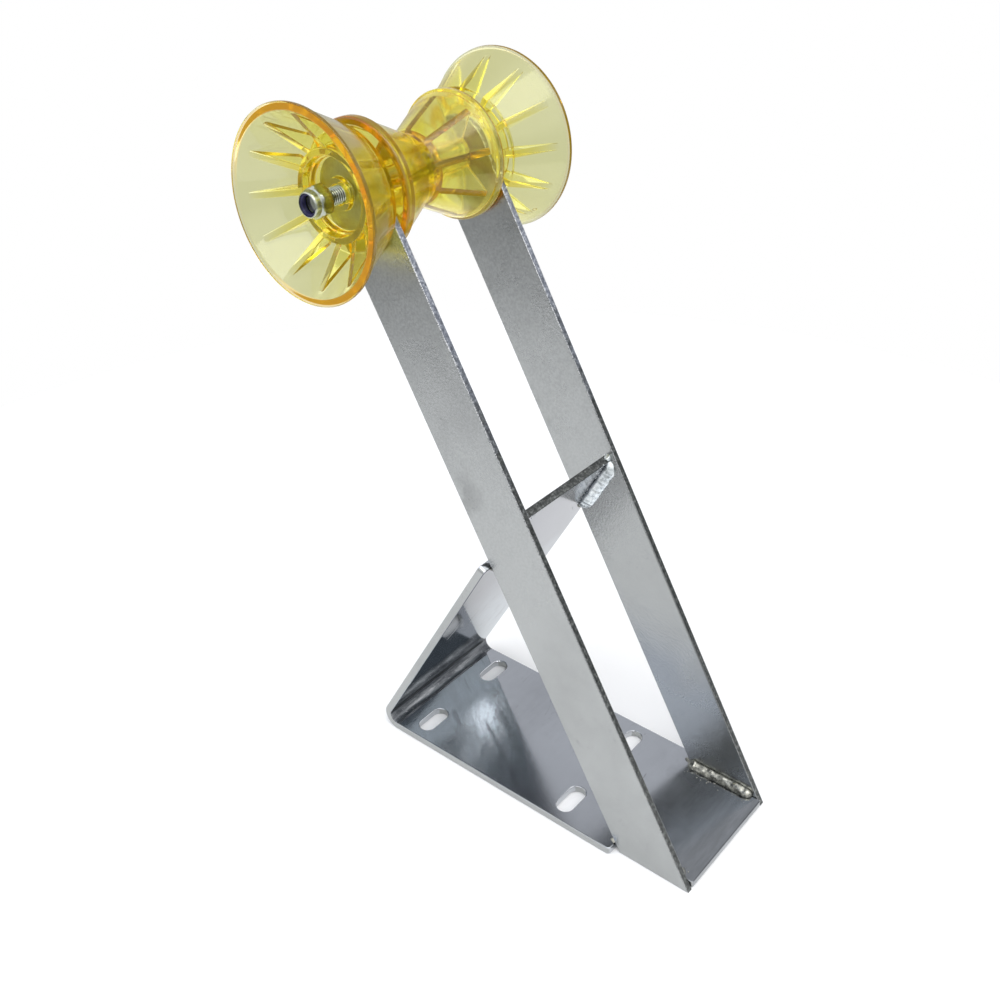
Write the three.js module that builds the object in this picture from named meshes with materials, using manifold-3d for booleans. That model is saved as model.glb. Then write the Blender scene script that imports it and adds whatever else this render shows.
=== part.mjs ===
// Bow roller: a galvanised V bracket (bent plate and two flat-bar arms, welded) that carries a
// centre spool roller and two flared end bells on one long bolt.
// Millimetres, +Z up, X along the roller axis, -Y towards the foot of the arms.
// The origin is on the underside of the base, in the middle of its four fixing slots.
import * as THREE from "three";
import * as BufferGeometryUtils from "three/addons/utils/BufferGeometryUtils.js";
import Module from "manifold-3d";

const wasm = await Module();
wasm.setup();

// ---- driving dimensions --------------------------------------------------------------------
const GAP = 0.3;                       // clearance left between parts that touch in the real thing

const PLATE_T = 6;                     // bent plate
const PLATE_W = 121.5;
const FOOT_Y = -181.5;                 // front edge of the base
const HEEL_Y = 110.6;                  // where base underside and brace back would meet
const BRACE_DEG = 61;                  // brace above the base
const BRACE_LEN = 287;                 // heel to the top edge, along the back face
const BEND_R = 12.5;                   // outside radius of the bend
const BASE_SHOULDER = 230;             // heel to the step where the plate narrows, base side
const BRACE_SHOULDER = 232;            // the same on the brace
const SHOULDER_R = 3;
const SLOT_LEN = 28;
const SLOT_W = 13.5;
const SLOT_X = 38.5;
const SLOT_Y = 69.35;

const ARM_T = 5;                       // flat-bar arms
const ARM_W = 50;
const ARM_DEG = 60;
const ARM_IN_X = 48.9;                 // inner face of each arm
const ARM_PIVOT = 524;                 // foot corner to the bolt hole, along the arm
const HOLE_R = 6.4;

const BOLT_R = 6;                      // M12 x 150 hexagon bolt, head on +X
const BOLT_UNDER_HEAD = 64.6;
const BOLT_LEN = 150;
const HEAD_H = 7.5;
const HEX_AF = 19;
const NUT_X = -76;                     // inner face of the lock nut
const NUT_HEX_H = 9.2;
const NUT_H = 14;
const COLLAR_R = 8.5;
const NUT_BORE_R = 6.35;

const BORE_R = 6.6;                    // rollers run on the plain bolt
const BELL_X = 56;                     // small face of each end bell
const BELL_LEN = 40;
const BELL_SMALL_R = 42;
const BELL_RIM_R = 62.4;
const BELL_WALL = 5;                   // measured square to the cone
const BELL_FLOOR = 4.8;
const BELL_HUB_R = 30;
const BELL_HUB_BORE_R = 24.6;
const BELL_HUB_H = 14.2;
const BELL_BOSS_R = 10.5;
const BELL_BOSS_H = 8.2;
const BELL_RIBS = 12;
const BELL_RIB_W = 4.6;
const BELL_RIB_TURN = -5;              // first rib, degrees from +Y towards +Z

const SPOOL_HALF = 47;                 // centre roller
const SPOOL_RIM_R = 43.6;
const SPOOL_RIM_W = 7;
const SPOOL_NECK_R = 23;
const SPOOL_WALL = 5;
const SPOOL_WEB = 9;                   // half thickness of the solid middle
const SPOOL_HUB_R = 12.5;
const SPOOL_RIBS = 8;
const SPOOL_RIB_W = 4.4;
const SPOOL_RIB_TURN = 30;

const SEGMENTS = 32;

// ---- helpers -------------------------------------------------------------------------------
const rad = (deg) => (deg * Math.PI) / 180;
const ARM_DIR = [Math.cos(rad(ARM_DEG)), Math.sin(rad(ARM_DEG))];      // (y, z) up the arm
const ARM_BACK = [Math.sin(rad(ARM_DEG)), -Math.cos(rad(ARM_DEG))];    // (y, z) to its back edge
const BRACE_DIR = [-Math.cos(rad(BRACE_DEG)), Math.sin(rad(BRACE_DEG))];
const BRACE_IN = [-Math.sin(rad(BRACE_DEG)), -Math.cos(rad(BRACE_DEG))];
const AXIS_Y = FOOT_Y + ARM_PIVOT * ARM_DIR[0] + (ARM_W / 2) * ARM_BACK[0];
const AXIS_Z = ARM_PIVOT * ARM_DIR[1] + (ARM_W / 2) * ARM_BACK[1];

function clean(geometry) {
  const g = geometry.clone();
  g.deleteAttribute("normal");
  g.deleteAttribute("uv");
  return BufferGeometryUtils.mergeVertices(g, 1e-4);
}

function signedVolume(g) {
  const p = g.attributes.position;
  const a = new THREE.Vector3();
  const b = new THREE.Vector3();
  const c = new THREE.Vector3();
  let sum = 0;
  for (let i = 0; i < g.index.count; i += 3) {
    a.fromBufferAttribute(p, g.index.getX(i));
    b.fromBufferAttribute(p, g.index.getX(i + 1));
    c.fromBufferAttribute(p, g.index.getX(i + 2));
    sum += a.dot(b.cross(c)) / 6;
  }
  return sum;
}

// Turns a closed geometry into a manifold solid, whichever way its faces were wound.
function solid(geometry) {
  const g = clean(geometry);
  const index = Uint32Array.from(g.index.array);
  if (signedVolume(g) < 0) {
    for (let i = 0; i < index.length; i += 3) [index[i], index[i + 1]] = [index[i + 1], index[i]];
  }
  const vertProperties = Float32Array.from(g.attributes.position.array);
  return new wasm.Manifold(new wasm.Mesh({ numProp: 3, vertProperties, triVerts: index }));
}

function geometryOf(manifold) {
  const mesh = manifold.getMesh();
  const g = new THREE.BufferGeometry();
  g.setAttribute("position", new THREE.BufferAttribute(Float32Array.from(mesh.vertProperties), 3));
  g.setIndex(new THREE.BufferAttribute(Uint32Array.from(mesh.triVerts), 1));
  g.computeVertexNormals();
  return g;
}

// Revolves a closed [x, r] outline about the X axis.
function revolve(outline, segments = SEGMENTS) {
  const points = outline.map(([x, r]) => new THREE.Vector2(Math.max(r, 0), x));
  points.push(points[0].clone());
  const g = new THREE.LatheGeometry(points, segments);
  g.rotateZ(-Math.PI / 2);
  return solid(g);
}

// Extrudes an outline given in the (y, z) plane from x0 to x1.
function slabYZ(outline, x0, x1) {
  const shape = new THREE.Shape(outline.map(([y, z]) => new THREE.Vector2(y, z)));
  const g = new THREE.ExtrudeGeometry(shape, { depth: x1 - x0, bevelEnabled: false });
  g.applyMatrix4(new THREE.Matrix4().set(0, 0, 1, x0, 1, 0, 0, 0, 0, 1, 0, 0, 0, 0, 0, 1));
  return solid(g);
}

const arc = (cx, cy, r, a0, a1, n) =>
  Array.from({ length: n + 1 }, (_, i) => {
    const a = rad(a0 + ((a1 - a0) * i) / n);
    return [cx + r * Math.cos(a), cy + r * Math.sin(a)];
  });

// Lays an (x, distance-from-heel) outline through the plate, on the base or on the brace.
function punch(outline, onBrace) {
  const shape = new THREE.Shape(outline.map(([x, l]) => new THREE.Vector2(x, l)));
  const g = new THREE.ExtrudeGeometry(shape, { depth: PLATE_T * 3, bevelEnabled: false });
  g.translate(0, 0, -PLATE_T);
  const along = onBrace ? BRACE_DIR : [-1, 0];
  const inward = onBrace ? BRACE_IN : [0, 1];
  g.applyMatrix4(new THREE.Matrix4().set(
    1, 0, 0, 0,
    0, along[0], inward[0], HEEL_Y,
    0, along[1], inward[1], 0,
    0, 0, 0, 1));
  return solid(g);
}

const group = new THREE.Group();
group.name = "bow_roller";

function add(name, manifold, look) {
  const mesh = new THREE.Mesh(geometryOf(manifold), new THREE.MeshStandardMaterial(look));
  mesh.name = name;
  group.add(mesh);
}

const GALVANISED = { color: 0xa9adb0, roughness: 0.42, metalness: 0.9 };
const WELD = { color: 0xb9bbbd, roughness: 0.35, metalness: 0.9 };
const ZINC = { color: 0xc9ccca, roughness: 0.25, metalness: 1.0 };
const NYLON = { color: 0x2b2a66, roughness: 0.4, metalness: 0.0 };
const AMBER = { color: 0xd2b01e, roughness: 0.15, metalness: 0.0, transparent: true, opacity: 0.6 };

// ---- bent plate: base and brace in one piece -------------------------------------------------
function bentPlate() {
  const tangent = BEND_R / Math.tan(rad(BRACE_DEG / 2));
  const bendY = HEEL_Y - tangent;
  const outer = arc(bendY, BEND_R, BEND_R, -90, 90 - BRACE_DEG, 12);
  const inner = arc(bendY, BEND_R, BEND_R - PLATE_T, 90 - BRACE_DEG, -90, 8);
  const top = [HEEL_Y + BRACE_DIR[0] * BRACE_LEN, BRACE_DIR[1] * BRACE_LEN];
  const side = [
    [FOOT_Y, 0], ...outer, top,
    [top[0] + BRACE_IN[0] * PLATE_T, top[1] + BRACE_IN[1] * PLATE_T],
    ...inner, [FOOT_Y, PLATE_T],
  ];
  let plate = slabYZ(side, -PLATE_W / 2, PLATE_W / 2);
  const tongue = ARM_IN_X - GAP;
  const edge = PLATE_W / 2;
  for (const [onBrace, shoulder] of [[false, BASE_SHOULDER], [true, BRACE_SHOULDER]]) {
    for (const s of [-1, 1]) {
      const round = arc(edge - SHOULDER_R, shoulder - SHOULDER_R, SHOULDER_R, 90, 0, 6);
      const cut = [[tongue, shoulder], ...round, [edge + 5, shoulder - SHOULDER_R],
        [edge + 5, 330], [tongue, 330]].map(([x, l]) => [s * x, l]);
      plate = plate.subtract(punch(cut, onBrace));
    }
  }
  const h = (SLOT_LEN - SLOT_W) / 2;
  for (const x of [-SLOT_X, SLOT_X]) {
    for (const y of [-SLOT_Y, SLOT_Y]) {
      const l = HEEL_Y - y;
      const slot = [...arc(x + h, l, SLOT_W / 2, -90, 90, 10), ...arc(x - h, l, SLOT_W / 2, 90, 270, 10)];
      plate = plate.subtract(punch(slot, false));
    }
  }
  return plate;
}
add("base_plate", bentPlate(), GALVANISED);

// ---- arms ------------------------------------------------------------------------------------
function arm(side) {
  const at = (s, n) => [FOOT_Y + s * ARM_DIR[0] + n * ARM_BACK[0], s * ARM_DIR[1] + n * ARM_BACK[1]];
  const half = ARM_W / 2;
  const footBack = [FOOT_Y + ARM_W / Math.sin(rad(ARM_DEG)), 0];       // cut level with the base
  const end = arc(0, 0, half, -90, 90, 18).map(([u, v]) => at(ARM_PIVOT + u, half - v));
  const outline = [[FOOT_Y, 0], footBack, ...end];
  const x0 = side > 0 ? ARM_IN_X : -ARM_IN_X - ARM_T;
  const hole = arc(AXIS_Y, AXIS_Z, HOLE_R, 0, 345, 23);
  return slabYZ(outline, x0, x0 + ARM_T).subtract(slabYZ(hole, x0 - 2, x0 + ARM_T + 2));
}
add("arm_left", arm(-1), GALVANISED);
add("arm_right", arm(1), GALVANISED);

// ---- welds -----------------------------------------------------------------------------------
// A bead laid in the corner between two faces: `a` and `b` are unit vectors out of the corner
// along the two faces, and the bead swells and pinches along its length.
function bead(start, end, a, b, leg, ripples, phase) {
  const stations = ripples * 4;
  const ring = 7;
  const p0 = new THREE.Vector3(...start);
  const p1 = new THREE.Vector3(...end);
  const va = new THREE.Vector3(...a);
  const vb = new THREE.Vector3(...b);
  const positions = [];
  for (let i = 0; i <= stations; i++) {
    const t = i / stations;
    const taper = Math.sin(Math.PI * Math.min(1, Math.max(0.12, Math.min(t, 1 - t) * 5 + 0.12)) / 2);
    const size = leg * taper * (1 + 0.09 * Math.sin(2 * Math.PI * ripples * t + phase));
    const c = p0.clone().lerp(p1, t);
    positions.push(...c.toArray());
    for (let k = 0; k < ring; k++) {
      const w = (k / (ring - 1)) * (Math.PI / 2);
      const flat = 0.82 + 0.18 * Math.abs(Math.cos(2 * w));              // slightly domed face
      const q = c.clone().addScaledVector(va, size * Math.cos(w) * flat)
        .addScaledVector(vb, size * Math.sin(w) * flat);
      positions.push(...q.toArray());
    }
  }
  const n = ring + 1;
  const index = [];
  for (let i = 0; i < stations; i++) {
    for (let k = 0; k < n; k++) {
      const k2 = (k + 1) % n;
      const [p, q, r, s] = [i * n + k, i * n + k2, (i + 1) * n + k2, (i + 1) * n + k];
      index.push(p, q, r, p, r, s);
    }
  }
  for (let k = 1; k < n - 1; k++) {
    index.push(0, k + 1, k);
    index.push(stations * n, stations * n + k, stations * n + k + 1);
  }
  const g = new THREE.BufferGeometry();
  g.setAttribute("position", new THREE.Float32BufferAttribute(positions, 3));
  g.setIndex(index);
  g.computeVertexNormals();
  return solid(g);
}

const onBrace = (l, lift) => [HEEL_Y + BRACE_DIR[0] * l + BRACE_IN[0] * lift,
  BRACE_DIR[1] * l + BRACE_IN[1] * lift];

for (const [side, label] of [[-1, "left"], [1, "right"]]) {
  const x = side * (ARM_IN_X - GAP);
  const into = [-side, 0, 0];
  // along the top of the base tongue
  add(`weld_foot_${label}`, bead([x, FOOT_Y + 7, PLATE_T + GAP], [x, FOOT_Y + 56, PLATE_T + GAP],
    into, [0, 0, 1], 6.5, 9, side), WELD);
  // along the inside face of the brace tongue
  const low = onBrace(239, PLATE_T + GAP);
  const high = onBrace(284, PLATE_T + GAP);
  add(`weld_brace_${label}`, bead([x, ...low], [x, ...high], into, [0, ...BRACE_IN], 6, 8, 2 + side),
    WELD);
  // short runs behind the arm, on the two shoulders of the plate
  const out = side * (ARM_IN_X + GAP);
  add(`tack_base_${label}`, bead([out, HEEL_Y - BASE_SHOULDER + 3.2, PLATE_T + GAP],
    [side * (ARM_IN_X + ARM_T - GAP), HEEL_Y - BASE_SHOULDER + 3.2, PLATE_T + GAP],
    [0, 1, 0], [0, 0, 1], 3.2, 1, 0), WELD);
  const heel = onBrace(BRACE_SHOULDER - 3.2, PLATE_T + GAP);
  add(`tack_brace_${label}`, bead([out, ...heel], [side * (ARM_IN_X + ARM_T - GAP), ...heel],
    [0, ...BRACE_DIR.map((v) => -v)], [0, ...BRACE_IN], 3.2, 1, 0), WELD);
}

// ---- rollers ---------------------------------------------------------------------------------
// Straight radial ribs: a (x, r) outline given the width of the rib and set out round the axis.
function ribs(outline, count, width, phase) {
  const shape = new THREE.Shape(outline.map(([x, r]) => new THREE.Vector2(x, r)));
  const parts = [];
  for (let i = 0; i < count; i++) {
    const g = new THREE.ExtrudeGeometry(shape, { depth: width, bevelEnabled: false });
    g.translate(0, 0, -width / 2);
    g.rotateX(rad(phase + (360 / count) * i));
    parts.push(solid(g));
  }
  return wasm.Manifold.union(parts);
}

function endBell() {
  const slope = (BELL_RIM_R - BELL_SMALL_R) / BELL_LEN;
  const wall = BELL_WALL * Math.hypot(1, slope);
  const inner = (t) => BELL_SMALL_R + slope * t - wall;                 // inner face of the cone
  const profile = [
    [0, BORE_R], [0, BELL_SMALL_R], [BELL_LEN - 1.5, BELL_RIM_R], [BELL_LEN, BELL_RIM_R - 1],
    [BELL_LEN, inner(BELL_LEN) + 0.8], [BELL_FLOOR, inner(BELL_FLOOR)],
    [BELL_FLOOR, BELL_HUB_R + 0.4], [BELL_HUB_H, BELL_HUB_R], [BELL_HUB_H, BELL_HUB_BORE_R],
    [BELL_FLOOR, BELL_HUB_BORE_R - 0.8], [BELL_FLOOR, BELL_BOSS_R + 0.4],
    [BELL_BOSS_H, BELL_BOSS_R], [BELL_BOSS_H, BORE_R],
  ];
  const tip = BELL_LEN - 6.5;
  const rib = [
    [BELL_FLOOR - 1, BELL_HUB_R - 2.5], [BELL_HUB_H - 1.2, BELL_HUB_R - 2.5],
    [BELL_HUB_H - 0.6, BELL_HUB_R], [tip, inner(tip)], [tip, inner(tip) + 2],
    [BELL_FLOOR - 1, inner(BELL_FLOOR - 1) + 2],
  ];
  const spokes = ribs(rib, BELL_RIBS, BELL_RIB_W, BELL_RIB_TURN);
  return revolve(profile).add(spokes).translate([BELL_X, 0, 0]);
}

function spool() {
  const rimX = SPOOL_HALF - SPOOL_RIM_W;
  const slope = (SPOOL_RIM_R - 1.4 - SPOOL_NECK_R) / rimX;
  const wall = SPOOL_WALL * Math.hypot(1, slope);
  const inner = (x) => SPOOL_NECK_R + slope * x - wall;
  const half = [
    [SPOOL_HALF, BORE_R], [SPOOL_HALF, SPOOL_HUB_R], [SPOOL_WEB, SPOOL_HUB_R + 0.8],
    [SPOOL_WEB, inner(SPOOL_WEB)], [rimX, inner(rimX)], [SPOOL_HALF, inner(rimX) + 2.4],
    [SPOOL_HALF, SPOOL_RIM_R - 1.5], [SPOOL_HALF - 1.5, SPOOL_RIM_R],
    [rimX + 0.8, SPOOL_RIM_R], [rimX, SPOOL_RIM_R - 1.4], [2.2, SPOOL_NECK_R + slope * 2.2],
    [1.2, SPOOL_NECK_R + 0.2],
  ];
  const profile = [...half, ...half.slice().reverse().map(([x, r]) => [-x, r])];
  const rib = [
    [SPOOL_WEB - 1, SPOOL_HUB_R - 3], [SPOOL_HALF - 3, SPOOL_HUB_R - 3],
    [SPOOL_HALF - 9, inner(SPOOL_HALF - 9) + 2], [SPOOL_WEB - 1, inner(SPOOL_WEB - 1) + 2],
  ];
  const mirrored = rib.map(([x, r]) => [-x, r]);
  const spokes = ribs(rib, SPOOL_RIBS, SPOOL_RIB_W, SPOOL_RIB_TURN)
    .add(ribs(mirrored, SPOOL_RIBS, SPOOL_RIB_W, SPOOL_RIB_TURN));
  return revolve(profile).add(spokes);
}

const toAxis = (manifold) => manifold.translate([0, AXIS_Y, AXIS_Z]);
const bell = endBell();
add("center_roller", toAxis(spool()), AMBER);
add("end_bell_left", toAxis(bell.mirror([1, 0, 0])), AMBER);
add("end_bell_right", toAxis(bell), AMBER);

// ---- bolt, lock nut and its nylon ring ---------------------------------------------------------
function hexagon(af, x0, x1) {
  const outline = arc(0, 0, af / Math.sqrt(3), 30, 330, 5);
  return slabYZ(outline, x0, x1);
}

function bolt() {
  const tip = BOLT_UNDER_HEAD - BOLT_LEN;
  const shank = revolve([
    [tip, 0], [tip, BOLT_R - 1], [tip + 1, BOLT_R], [BOLT_UNDER_HEAD + 1, BOLT_R],
    [BOLT_UNDER_HEAD + 1, 0],
  ], 32);
  const top = BOLT_UNDER_HEAD + HEAD_H;
  const corner = HEX_AF / Math.sqrt(3);
  const chamfer = revolve([
    [BOLT_UNDER_HEAD, 0], [BOLT_UNDER_HEAD, corner + 0.1], [top - 1.4, corner + 0.1],
    [top, HEX_AF / 2 - 0.6], [top, 0],
  ], 32);
  return shank.add(hexagon(HEX_AF, BOLT_UNDER_HEAD, top).intersect(chamfer));
}

function nut() {
  const corner = HEX_AF / Math.sqrt(3);
  const hexEnd = NUT_X - NUT_HEX_H;
  const chamfer = revolve([
    [NUT_X, 0], [NUT_X, HEX_AF / 2 - 0.4], [NUT_X - 1.3, corner + 0.1],
    [hexEnd + 1.3, corner + 0.1], [hexEnd, HEX_AF / 2 - 0.4], [hexEnd, 0],
  ], 32);
  const end = NUT_X - NUT_H;
  const collar = revolve([
    [hexEnd + 1, 0], [hexEnd + 1, COLLAR_R + 0.2], [end + 1.4, COLLAR_R], [end + 0.3, COLLAR_R - 0.5],
    [end, COLLAR_R - 1.2], [end, 0],
  ], 40);
  // bore, pocket for the nylon ring, and the crimped lip that holds it in
  const pocket = COLLAR_R - 0.9;
  const core = revolve([
    [NUT_X + 1, 0], [NUT_X + 1, NUT_BORE_R], [hexEnd - 0.4, NUT_BORE_R], [hexEnd - 0.4, pocket],
    [end + 0.7, pocket], [end + 0.3, COLLAR_R - 1.9], [end - 1, COLLAR_R - 1.9], [end - 1, 0],
  ], 40);
  return hexagon(HEX_AF, hexEnd, NUT_X).intersect(chamfer).add(collar).subtract(core);
}

function nylonRing() {
  const outer = COLLAR_R - 0.9 - GAP;
  const x1 = BOLT_UNDER_HEAD - BOLT_LEN - GAP;
  const x0 = NUT_X - NUT_H + 1.1;
  return revolve([
    [x0, 5.6], [x1, 5.6], [x1, outer], [x0, outer - 0.1],
  ], 40);
}

add("axle_bolt", toAxis(bolt()), ZINC);
add("lock_nut", toAxis(nut()), ZINC);
add("nut_insert", toAxis(nylonRing()), NYLON);

export default group;
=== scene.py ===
import math
import random

import bmesh
import bpy
from mathutils import Matrix, Vector, noise

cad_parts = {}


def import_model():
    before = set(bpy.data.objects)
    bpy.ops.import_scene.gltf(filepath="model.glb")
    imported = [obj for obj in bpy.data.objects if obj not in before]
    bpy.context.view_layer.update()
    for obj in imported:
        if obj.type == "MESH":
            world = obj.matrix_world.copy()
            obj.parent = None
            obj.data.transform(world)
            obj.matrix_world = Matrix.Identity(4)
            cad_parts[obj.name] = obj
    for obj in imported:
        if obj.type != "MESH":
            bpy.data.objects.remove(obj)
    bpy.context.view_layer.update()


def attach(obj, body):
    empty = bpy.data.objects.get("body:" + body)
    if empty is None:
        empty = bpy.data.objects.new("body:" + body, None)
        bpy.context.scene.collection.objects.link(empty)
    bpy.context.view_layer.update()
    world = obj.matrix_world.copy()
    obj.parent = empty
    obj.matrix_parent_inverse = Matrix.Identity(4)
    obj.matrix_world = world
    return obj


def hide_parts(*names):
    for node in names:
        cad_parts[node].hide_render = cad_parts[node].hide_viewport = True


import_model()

MM = 0.001

# ---- dimensions shared with the CAD part, in millimetres --------------------------------------
PLATE_T, PLATE_W = 6.0, 121.5
FOOT_Y, HEEL_Y = -181.5, 110.6
BRACE_DEG, BRACE_LEN, BEND_R = 61.0, 287.0, 12.5
BASE_SHOULDER, BRACE_SHOULDER, SHOULDER_R = 230.0, 232.0, 3.0
SLOT_LEN, SLOT_W, SLOT_X, SLOT_Y = 28.0, 13.5, 38.5, 69.35
ARM_T, ARM_W, ARM_DEG, ARM_IN_X, ARM_PIVOT, HOLE_R = 5.0, 50.0, 60.0, 48.9, 524.0, 6.4
BELL_X, BELL_LEN, BELL_SMALL_R, BELL_RIM_R, BELL_WALL = 56.0, 40.0, 42.0, 62.4, 5.0
BELL_FLOOR, BELL_HUB_R, BELL_HUB_BORE_R, BELL_HUB_H = 4.8, 30.0, 24.6, 14.2
BELL_BOSS_R, BELL_BOSS_H, BELL_RIBS, BELL_RIB_W = 10.5, 8.2, 12, 4.6
BELL_SLOPE = (BELL_RIM_R - BELL_SMALL_R) / BELL_LEN
BORE_R = 6.6
SPOOL_HALF, SPOOL_RIM_R, SPOOL_RIM_W, SPOOL_NECK_R = 47.0, 43.6, 7.0, 23.0
SPOOL_WALL, SPOOL_WEB, SPOOL_HUB_R, SPOOL_RIBS, SPOOL_RIB_W = 5.0, 9.0, 12.5, 8, 4.4
BELL_RIB_TURN, SPOOL_RIB_TURN = -5, 30
BOLT_R, BOLT_UNDER_HEAD, BOLT_LEN, HEAD_H, HEX_AF = 6.0, 64.6, 150.0, 7.5, 19.0
THREAD_PITCH, THREAD_ROOT_R, THREAD_LEN, SHANK_R = 1.75, 5.08, 36.0, 5.88
NUT_X, NUT_HEX_H, NUT_H, COLLAR_R = -76.0, 9.2, 14.0, 8.5

rad = math.radians
ARM_DIR = Vector((0, math.cos(rad(ARM_DEG)), math.sin(rad(ARM_DEG))))
ARM_BACK = Vector((0, math.sin(rad(ARM_DEG)), -math.cos(rad(ARM_DEG))))
BRACE_DIR = Vector((0, -math.cos(rad(BRACE_DEG)), math.sin(rad(BRACE_DEG))))
BRACE_IN = Vector((0, -math.sin(rad(BRACE_DEG)), -math.cos(rad(BRACE_DEG))))
AXIS = Vector((0, FOOT_Y, 0)) + ARM_DIR * ARM_PIVOT + ARM_BACK * (ARM_W / 2)


# ---- node helpers ------------------------------------------------------------------------------
class Nodes:
    """A short way to write the node tree of a material, or of the world."""

    def __init__(self, name="", world=None):
        self.mat = world or bpy.data.materials.new(name)
        self.mat.use_nodes = True
        self.tree = self.mat.node_tree
        self.tree.nodes.clear()
        self.out = self.add("OutputWorld" if world else "OutputMaterial")

    def add(self, kind, inputs=None, **props):
        n = self.tree.nodes.new("ShaderNode" + kind)
        for k, v in props.items():
            setattr(n, k, v)
        for k, v in (inputs or {}).items():
            self.put(n.inputs[k], v)
        return n

    def put(self, socket, value):
        if isinstance(value, bpy.types.NodeSocket):
            self.tree.links.new(value, socket)
        elif isinstance(value, bpy.types.Node):
            self.tree.links.new(value.outputs[0], socket)
        else:
            socket.default_value = value

    def position(self):
        return self.add("TexCoord").outputs["Object"]

    def noise(self, scale, detail=4.0, rough=0.55, vector=None, distortion=0.0):
        n = self.add("TexNoise", {"Scale": scale, "Detail": detail, "Roughness": rough,
                                  "Distortion": distortion})
        self.put(n.inputs["Vector"], vector if vector is not None else self.position())
        return n.outputs["Fac"]

    def axes(self):
        """X, Y and Z of the position, in metres."""
        return self.add("SeparateXYZ", {"Vector": self.position()}).outputs

    def stretched(self, scale):
        return self.add("Mapping", {"Vector": self.position(), "Scale": scale}).outputs[0]

    def ramp(self, fac, stops):
        n = self.add("ValToRGB", {"Fac": fac})
        r = n.color_ramp
        while len(r.elements) < len(stops):
            r.elements.new(0.5)
        for e, (at, colour) in zip(r.elements, stops):
            e.position = at
            e.color = (*colour, 1)
        return n.outputs["Color"]

    def mix(self, fac, a, b):
        n = self.add("Mix", data_type="RGBA")
        self.put(n.inputs["Factor"], fac)
        self.put(n.inputs["A"], a if not isinstance(a, tuple) else (*a, 1))
        self.put(n.inputs["B"], b if not isinstance(b, tuple) else (*b, 1))
        return n.outputs["Result"]

    def math(self, op, a, b=0.0, c=None):
        n = self.add("Math", operation=op)
        self.put(n.inputs[0], a)
        self.put(n.inputs[1], b)
        if c is not None:
            self.put(n.inputs[2], c)
        return n.outputs[0]

    def map(self, value, lo, hi, to_lo, to_hi):
        return self.add("MapRange", {"Value": value, "From Min": lo, "From Max": hi,
                                     "To Min": to_lo, "To Max": to_hi}).outputs[0]

    def bump(self, height, strength, distance, normal=None):
        n = self.add("Bump", {"Height": height, "Strength": strength, "Distance": distance})
        if normal is not None:
            self.put(n.inputs["Normal"], normal)
        return n.outputs[0]

    def principled(self, **inputs):
        n = self.add("BsdfPrincipled", {k.replace("_", " "): v for k, v in inputs.items()})
        self.put(self.out.inputs["Surface"], n)


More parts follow.
